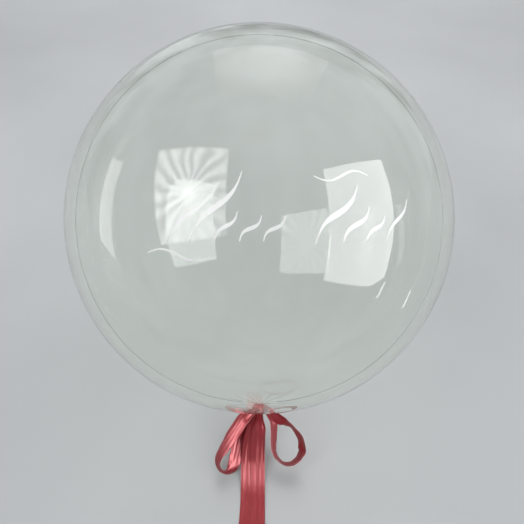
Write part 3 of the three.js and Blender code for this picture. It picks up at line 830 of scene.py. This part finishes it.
def satin_material():
    """Satin: long floating threads lie side by side, so its gloss is spread across them, its colour has fine
    streaks along them, and its surface fine ribs."""
    material, nodes, links, shader = new_material("satin")
    place = nodes.new("ShaderNodeUVMap")
    place.uv_map = "UVMap"
    stretch = nodes.new("ShaderNodeMapping")
    stretch.inputs["Scale"].default_value = (2600, 60, 1)
    links.new(place.outputs["UV"], stretch.inputs["Vector"])
    noise = nodes.new("ShaderNodeTexNoise")
    noise.inputs["Scale"].default_value = 1.0
    noise.inputs["Detail"].default_value = 3.0
    links.new(stretch.outputs["Vector"], noise.inputs["Vector"])
    ramp = nodes.new("ShaderNodeValToRGB")
    ramp.color_ramp.elements[0].position = 0.3
    ramp.color_ramp.elements[1].position = 0.7
    ramp.color_ramp.elements[0].color = (*RIBBON_DEEP, 1)
    ramp.color_ramp.elements[1].color = (*RIBBON_RED, 1)
    links.new(noise.outputs["Fac"], ramp.inputs["Fac"])
    links.new(ramp.outputs["Color"], shader.inputs["Base Color"])
    bump = nodes.new("ShaderNodeBump")
    bump.inputs["Strength"].default_value = 0.25
    bump.inputs["Distance"].default_value = 0.0001
    links.new(noise.outputs["Fac"], bump.inputs["Height"])
    links.new(bump.outputs["Normal"], shader.inputs["Normal"])
    tangent = nodes.new("ShaderNodeTangent")
    tangent.direction_type = "UV_MAP"
    tangent.uv_map = "UVMap"
    links.new(tangent.outputs["Tangent"], shader.inputs["Tangent"])
    set_plain(
        shader,
        Metallic=0.22,
        Roughness=0.34,
        Anisotropic=0.8,
        IOR=1.66,
        Specular_Tint=(1.0, 0.92, 0.93, 1),
        Sheen_Weight=0.15,
        Sheen_Roughness=0.35,
        Sheen_Tint=(1.0, 0.6, 0.65, 1),
    )
    return material


satin = satin_material()
for piece in (bow, short_end, long_end, tie):
    wear(piece, satin)
print("satin made")


# %% [markdown]
# ## White vinyl
# The strokes' film is plain white vinyl, between matt and glossy, with a grain that is seen only close up.


# %% White strokes' finish
def vinyl_material():
    """White self-adhesive film: a smooth satin white with a very faint grain."""
    material, nodes, links, shader = new_material("white_vinyl")
    place = nodes.new("ShaderNodeTexCoord")
    noise = nodes.new("ShaderNodeTexNoise")
    noise.inputs["Scale"].default_value = 900
    links.new(place.outputs["Object"], noise.inputs["Vector"])
    ramp = nodes.new("ShaderNodeValToRGB")
    ramp.color_ramp.elements[0].color = (0.90, 0.90, 0.89, 1)
    ramp.color_ramp.elements[1].color = (0.96, 0.96, 0.95, 1)
    links.new(noise.outputs["Fac"], ramp.inputs["Fac"])
    links.new(ramp.outputs["Color"], shader.inputs["Base Color"])
    set_plain(shader, Roughness=0.35)
    return material


vinyl = vinyl_material()
for stroke in strokes:
    wear(stroke, vinyl)
print("white vinyl made")

# %% [markdown]
# ## Floor
# The balloon lies on a plain pale floor, a matt painted board. It is much larger than the picture, so that
# the film mirrors floor and not an edge.

# %% Floor
FLOOR_SIDE = 6.0
FLOOR_GREY = (0.50, 0.505, 0.515)


def floor_object():
    """A flat square plate, with a top and an underside."""
    half = FLOOR_SIDE / 2
    square = np.array([(-half, -half), (half, -half), (half, half), (-half, half)])
    rings = np.stack([np.column_stack([square, np.full(4, z)]) for z in (-0.02, 0.0)])
    return face_outward(grid_object("floor", rings, smooth=False))


floor = floor_object()
print("floor of", FLOOR_SIDE, "m a side")


# %% Floor's finish
def floor_material():
    """A matt painted board: faint broad clouds in its grey, and a fine tooth in its surface."""
    material, nodes, links, shader = new_material("floor")
    place = nodes.new("ShaderNodeTexCoord")
    clouds = nodes.new("ShaderNodeTexNoise")
    clouds.inputs["Scale"].default_value = 1.3
    clouds.inputs["Detail"].default_value = 3.0
    links.new(place.outputs["Object"], clouds.inputs["Vector"])
    ramp = nodes.new("ShaderNodeValToRGB")
    ramp.color_ramp.elements[0].position = 0.3
    ramp.color_ramp.elements[1].position = 0.7
    ramp.color_ramp.elements[0].color = (*[0.90 * part for part in FLOOR_GREY], 1)
    ramp.color_ramp.elements[1].color = (*[1.08 * part for part in FLOOR_GREY], 1)
    links.new(clouds.outputs["Fac"], ramp.inputs["Fac"])
    links.new(ramp.outputs["Color"], shader.inputs["Base Color"])
    tooth = nodes.new("ShaderNodeTexNoise")
    tooth.inputs["Scale"].default_value = 700
    links.new(place.outputs["Object"], tooth.inputs["Vector"])
    bump = nodes.new("ShaderNodeBump")
    bump.inputs["Strength"].default_value = 0.15
    bump.inputs["Distance"].default_value = 0.0002
    links.new(tooth.outputs["Fac"], bump.inputs["Height"])
    links.new(bump.outputs["Normal"], shader.inputs["Normal"])
    set_plain(shader, Roughness=0.9, Specular_IOR_Level=0.1)
    return material


wear(floor, floor_material())
print("floor painted")

# %% [markdown]
# ## The room round the balloon
# Clear film shows little of itself: what gives it a rim is the room in it. The room here is hung all round
# with pale cloth in folds. The folds run along the balloon's up direction, so the film bends them into fine
# arcs beside its rim. A fold is a streak of noise, long in one direction and narrow in the other two.

# %% World
ROOM_DARK = (0.10, 0.105, 0.105)
ROOM_PALE = (0.90, 0.945, 0.95)
FOLD_SCALE = 4.5
FOLD_STRETCH = 0.22


def room_world():
    """The colour seen in a direction: noise over the direction's parts along right, up and front, with the
    up part pressed together, and read through a ramp from the dark to the pale of the cloth."""
    world = bpy.data.worlds.new("world")
    world.use_nodes = True
    nodes, links = world.node_tree.nodes, world.node_tree.links
    place = nodes.new("ShaderNodeTexCoord")
    parts = nodes.new("ShaderNodeCombineXYZ")
    for slot, axis in enumerate((RIGHT, UP * FOLD_STRETCH, FRONT)):
        along = nodes.new("ShaderNodeVectorMath")
        along.operation = "DOT_PRODUCT"
        links.new(place.outputs["Generated"], along.inputs[0])
        along.inputs[1].default_value = tuple(axis)
        links.new(along.outputs["Value"], parts.inputs[slot])
    folds = nodes.new("ShaderNodeTexNoise")
    folds.inputs["Scale"].default_value = FOLD_SCALE
    folds.inputs["Detail"].default_value = 2.0
    links.new(parts.outputs["Vector"], folds.inputs["Vector"])
    ramp = nodes.new("ShaderNodeValToRGB")
    ramp.color_ramp.elements[0].position = 0.36
    ramp.color_ramp.elements[1].position = 0.64
    ramp.color_ramp.elements[0].color = (*ROOM_DARK, 1)
    ramp.color_ramp.elements[1].color = (*ROOM_PALE, 1)
    links.new(folds.outputs["Fac"], ramp.inputs["Fac"])
    links.new(ramp.outputs["Color"], nodes["Background"].inputs["Color"])
    nodes["Background"].inputs["Strength"].default_value = 1.0
    return world


bpy.context.scene.world = room_world()
print("world made")


# %% [markdown]
# ## Lights
# Two softboxes and four narrow strips make the bright images in the film. Each is put where its mirror
# image falls on the right place of the front film: the view ray through a picture point is reflected in the
# sphere, and the light stands along the reflected ray. The far film, curved the other way, then shows the
# softboxes again, small and upside down. These lights give gloss alone. The soft light on floor and cloth
# comes from two keys, in the softboxes' directions, and from a wide fill behind the balloon. The fill shows
# in the reflections and the keys don't.


# %% From the picture to a light's place
def view_ray(x, y):
    """The direction from the camera through a picture point."""
    aim = (
        camera_forward * FOCAL_PIXELS
        + camera_right * (x - PHOTO_SIDE / 2)
        - camera_up * (y - PHOTO_SIDE / 2)
    )
    return aim / np.linalg.norm(aim)


def mirrored(x, y, distance):
    """Where a light must be to show at a picture point: the ray's near hit on the sphere, reflected."""
    ray = view_ray(x, y)
    to_centre = camera_place - CENTRE
    half_b = ray @ to_centre
    reach = -half_b - math.sqrt(half_b**2 - (to_centre @ to_centre - FILM_RADIUS**2))
    hit = camera_place + reach * ray
    normal = (hit - CENTRE) / FILM_RADIUS
    return hit + distance * (ray - 2 * (ray @ normal) * normal)


def area_light(name, place, rise, width, height, radiance):
    """A rectangle that faces the balloon. Its power is radiance * pi * area."""
    data = bpy.data.lights.new(name, "AREA")
    data.shape = "RECTANGLE"
    data.size, data.size_y = width, height
    data.energy = radiance * math.pi * width * height
    light = bpy.data.objects.new(name, data)
    bpy.context.scene.collection.objects.link(light)
    backward = (place - CENTRE) / np.linalg.norm(place - CENTRE)
    up_axis = rise - (rise @ backward) * backward
    up_axis = up_axis / np.linalg.norm(up_axis)
    place_object(light, place, np.cross(up_axis, backward), up_axis, backward)
    light.visible_camera = False
    print(name, "at", place.round(2), "size", round(float(width), 2), round(float(height), 2))
    return light


def softbox(name, box, distance, radiance, lean=0):
    """An area light whose mirror image on the front film fills a box of the picture: its left, top, right
    and bottom, with its top moved right by the lean. It lights nothing diffusely."""
    left, top, right, bottom = box
    picture_corners = ((left + lean, top), (right + lean, top), (right, bottom), (left, bottom))
    corners = [mirrored(x, y, distance) for x, y in picture_corners]
    middle = sum(corners) / 4
    across = (corners[1] + corners[2] - corners[0] - corners[3]) / 2
    rise = (corners[0] + corners[1] - corners[2] - corners[3]) / 2
    light = area_light(name, middle, rise, np.linalg.norm(across), np.linalg.norm(rise), radiance)
    light.visible_diffuse = False
    return light


# %% Patterns of light
STAR_WANDER = 9.0
STAR_WANDER_SCALE = 1.6
STAR_FADE = 4.0
STAR_CORE = 0.006
STAR_CORE_BREADTH = 0.0015
SOFT_MIDDLE = 2.0
SOFT_FALL = 6.0
SOFT_LEAST = 0.5


def math_node(tree, operation, first, second=0.0):
    """A Math node's output. Each of its first two inputs is a number or another node's output."""
    node = tree.nodes.new("ShaderNodeMath")
    node.operation = operation
    for socket, value in zip(node.inputs, (first, second)):
        if isinstance(value, (int, float)):
            socket.default_value = value
        else:
            tree.links.new(value, socket)
    return node.outputs[0]


def vector_node(tree, operation, first, second):
    """A Vector Math node: its first input is another node's output, its second a fixed vector."""
    node = tree.nodes.new("ShaderNodeVectorMath")
    node.operation = operation
    tree.links.new(first, node.inputs[0])
    node.inputs[1].default_value = second
    return node


def star_pattern(light, rays, depth, held_back):
    """Crumpled reflector cloth: the light is brighter along rays from its middle, and in its middle. With a
    and r the angle and distance from the middle, it is 1 - depth + depth * (wave + glow), where wave is
    sin(rays * a + wander) / (1 + fade * r) and glow is core / (r * r + core breadth). Light that has
    already met cloth or floor is left out, because the soft lights give that. What reaches satin and strokes
    straight from the light is less by the share held back."""
    light.data.use_nodes = True
    tree = light.data.node_tree
    place = tree.nodes.new("ShaderNodeNewGeometry").outputs["Position"]
    offset = vector_node(tree, "SUBTRACT", place, light.matrix_world.translation).outputs["Vector"]
    x, y = (
        vector_node(tree, "DOT_PRODUCT", offset, light.matrix_world.col[axis].xyz / side).outputs["Value"]
        for axis, side in enumerate((light.data.size, light.data.size_y))
    )
    r_squared = math_node(tree, "ADD", math_node(tree, "MULTIPLY", x, x), math_node(tree, "MULTIPLY", y, y))
    noise = tree.nodes.new("ShaderNodeTexNoise")
    noise.inputs["Scale"].default_value = STAR_WANDER_SCALE
    tree.links.new(place, noise.inputs["Vector"])
    wander = math_node(tree, "MULTIPLY", noise.outputs["Fac"], STAR_WANDER)
    angle = math_node(tree, "MULTIPLY", math_node(tree, "ARCTAN2", y, x), rays)
    wave = math_node(tree, "SINE", math_node(tree, "ADD", angle, wander))
    fade = math_node(tree, "MULTIPLY", math_node(tree, "SQRT", r_squared), STAR_FADE)
    faded = math_node(tree, "DIVIDE", wave, math_node(tree, "ADD", fade, 1.0))
    core = math_node(tree, "DIVIDE", STAR_CORE, math_node(tree, "ADD", r_squared, STAR_CORE_BREADTH))
    pattern = math_node(tree, "MULTIPLY", math_node(tree, "ADD", faded, core), depth)
    total = math_node(tree, "ADD", pattern, 1.0 - depth)
    path = tree.nodes.new("ShaderNodeLightPath")
    fresh = math_node(tree, "LESS_THAN", path.outputs["Diffuse Depth"], 0.5)
    straight = math_node(tree, "LESS_THAN", path.outputs["Glossy Depth"], 0.5)
    let_through = math_node(tree, "SUBTRACT", 1.0, math_node(tree, "MULTIPLY", straight, held_back))
    strength = math_node(tree, "MULTIPLY", math_node(tree, "MULTIPLY", total, fresh), let_through)
    tree.links.new(strength, tree.nodes["Emission"].inputs["Strength"])


def soft_edges(light):
    """Cloth in front of a lamp: brightest in its middle. With r the distance from the middle as a share of
    the light's side, the light is middle - fall * r * r, and never less than the least."""
    light.data.use_nodes = True
    tree = light.data.node_tree
    place = tree.nodes.new("ShaderNodeNewGeometry").outputs["Position"]
    apart = vector_node(tree, "DISTANCE", place, light.matrix_world.translation).outputs["Value"]
    squared = math_node(tree, "POWER", apart, 2.0)
    fall = math_node(tree, "MULTIPLY", squared, SOFT_FALL / light.data.size**2)
    strength = math_node(tree, "MAXIMUM", math_node(tree, "SUBTRACT", SOFT_MIDDLE, fall), SOFT_LEAST)
    tree.links.new(strength, tree.nodes["Emission"].inputs["Strength"])


print("light patterns ready")

# %% Lights that make gloss
SOFTBOX_DISTANCE = 3.5
STRIP_DISTANCE = 0.10
LEFT_BOX_IN_PICTURE = (160, 150, 228, 240)
RIGHT_BOX_IN_PICTURE = (322, 165, 382, 283)

# Each strip's box in the picture, its distance, radiance and lean.
STRIPS = {
    "strip_left": ((112, 160, 124, 282), SOFTBOX_DISTANCE, 3.6, 0),
    "band_right": ((390, 205, 395, 288), SOFTBOX_DISTANCE, 2.4, 6),
    "strip_right": ((376, 282, 378, 298), STRIP_DISTANCE, 12.0, 8),
    "strip_right_low": ((402, 290, 403, 308), STRIP_DISTANCE, 8.0, 8),
}

gloss_left = softbox("softbox_left", LEFT_BOX_IN_PICTURE, SOFTBOX_DISTANCE, 24.0)
gloss_right = softbox("softbox_right", RIGHT_BOX_IN_PICTURE, SOFTBOX_DISTANCE, 16.5)
star_pattern(gloss_left, rays=17, depth=0.62, held_back=0.7)
star_pattern(gloss_right, rays=9, depth=0.15, held_back=0.6)
for name, strip in STRIPS.items():
    softbox(name, *strip)

# %% Lights that make soft light
SKY = np.array([0.0, 0.0, 1.0])
LEFT_KEY_IN_PICTURE = (194, 197)
RIGHT_KEY_IN_PICTURE = (352, 224)
FILL_PLACE = np.array([0.2, 2.4, 3.0])
for name, place, side, radiance in (
    ("key_left", mirrored(*LEFT_KEY_IN_PICTURE, SOFTBOX_DISTANCE), 2.4, 1.5),
    ("key_right", mirrored(*RIGHT_KEY_IN_PICTURE, SOFTBOX_DISTANCE), 2.4, 2.0),
    ("fill", FILL_PLACE, 2.6, 2.6),
):
    soft = area_light(name, place, SKY, side, side, radiance)
    soft.visible_glossy = name == "fill"
    soft.visible_transmission = False
    if name == "fill":
        soft_edges(soft)
